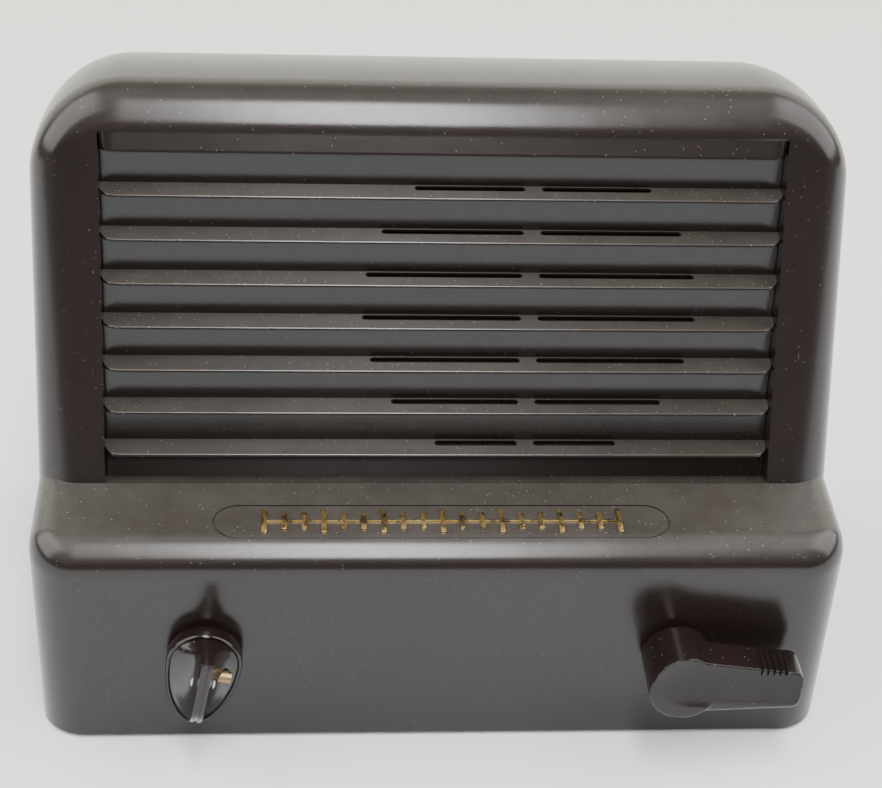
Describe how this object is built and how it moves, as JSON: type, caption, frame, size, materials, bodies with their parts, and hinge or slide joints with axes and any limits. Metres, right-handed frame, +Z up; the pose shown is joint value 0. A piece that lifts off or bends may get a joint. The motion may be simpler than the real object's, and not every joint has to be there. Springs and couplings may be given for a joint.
{
  "type": "desk intercom station",
  "caption": "Desk intercom station with a louvred leaning face over a ledge, a turning volume knob, a sprung talk lever and a moving-coil speaker inside.",
  "frame": {"origin": "middle of the whole part's width and depth, knobs included, at the level of the table that the rubber feet stand on", "axes": "+X to the right as the user sees it, +Y to the back, +Z up"},
  "size_m": [0.216, 0.1358, 0.1649],
  "materials": {
    "moulding": "polished phenolic moulding, dusty",
    "knob_moulding": "glossy dark brown phenolic",
    "lever_moulding": "glossy reddish brown phenolic",
    "dark_phenolic": "plain phenolic",
    "gilt": "worn gilt",
    "felt": "felt",
    "plated_steel": "zinc plated",
    "screw_steel": "zinc plated",
    "shaft_steel": "turned",
    "magnet_steel": "painted",
    "copper": "enamelled wire",
    "paper": "pressed paper",
    "dark_paper": "pressed paper",
    "treated_cloth": "varnished cloth",
    "fibreboard": "pressed board",
    "black_rubber": "matt",
    "valve_glass": "clear",
    "can_aluminium": "drawn",
    "laminations": "varnished",
    "waxed_winding": "waxed paper",
    "brass_screw": "bright"
  },
  "bodies": {
    "station": {"cabinet": "moulding", "ledge_ornament": "gilt", "speaker_gasket": "felt", "speaker_frame": "plated_steel", "speaker_surround": "dark_paper", "spider": "treated_cloth", "magnet_pot": "magnet_steel", "magnet_slug": "magnet_steel", "speaker_screws": "screw_steel", "chassis": "plated_steel", "base_plate": "fibreboard", "rubber_feet": "black_rubber", "base_screws": "screw_steel", "valve_socket_1": "dark_phenolic", "valve_socket_2": "dark_phenolic", "valve_socket_3": "dark_phenolic", "valve_1": "valve_glass", "valve_2": "valve_glass", "valve_3": "valve_glass", "filter_capacitor": "can_aluminium", "transformer_core": "laminations", "transformer_coil": "waxed_winding", "volume_control": "plated_steel", "volume_washer": "screw_steel", "volume_nut": "screw_steel", "talk_frame": "plated_steel", "talk_washer": "screw_steel", "talk_nut": "screw_steel", "talk_spring": "screw_steel", "talk_leaves": "brass_screw", "talk_spacers": "dark_phenolic", "back_cover": "fibreboard", "back_screws": "screw_steel", "cord_grommet": "black_rubber", "terminal_strip": "dark_phenolic", "terminal_screws": "brass_screw"},
    "volume": {"volume_shaft": "shaft_steel", "volume_knob": "knob_moulding", "volume_set_screw": "brass_screw"},
    "talk": {"talk_shaft": "shaft_steel", "talk_cam": "dark_phenolic", "talk_knob": "lever_moulding", "talk_set_screw": "brass_screw"},
    "cone": {"speaker_cone": "paper", "dust_cap": "paper", "voice_coil": "copper"}
  },
  "joints": [
    {"name": "volume_turn", "type": "hinge", "parent": "station", "child": "volume", "pos_m": [-0.0625, -0.0591, 0.0322], "axis": [0, 1, 0], "range_deg": [0, 300]},
    {"name": "talk_press", "type": "hinge", "parent": "station", "child": "talk", "pos_m": [0.0635, -0.0591, 0.0322], "axis": [0, 1, 0], "range_deg": [0, 30], "stiffness_Nm_per_rad": 0.2, "springref_deg": -17.19, "deforming": ["talk_spring"]},
    {"name": "cone_stroke", "type": "slide", "parent": "station", "child": "cone", "axis": [0, 0.9455, -0.3256], "range_m": [-0.0008, 0.0008], "stiffness_N_per_m": 1500, "deforming": ["speaker_surround", "spider"]}
  ]
}
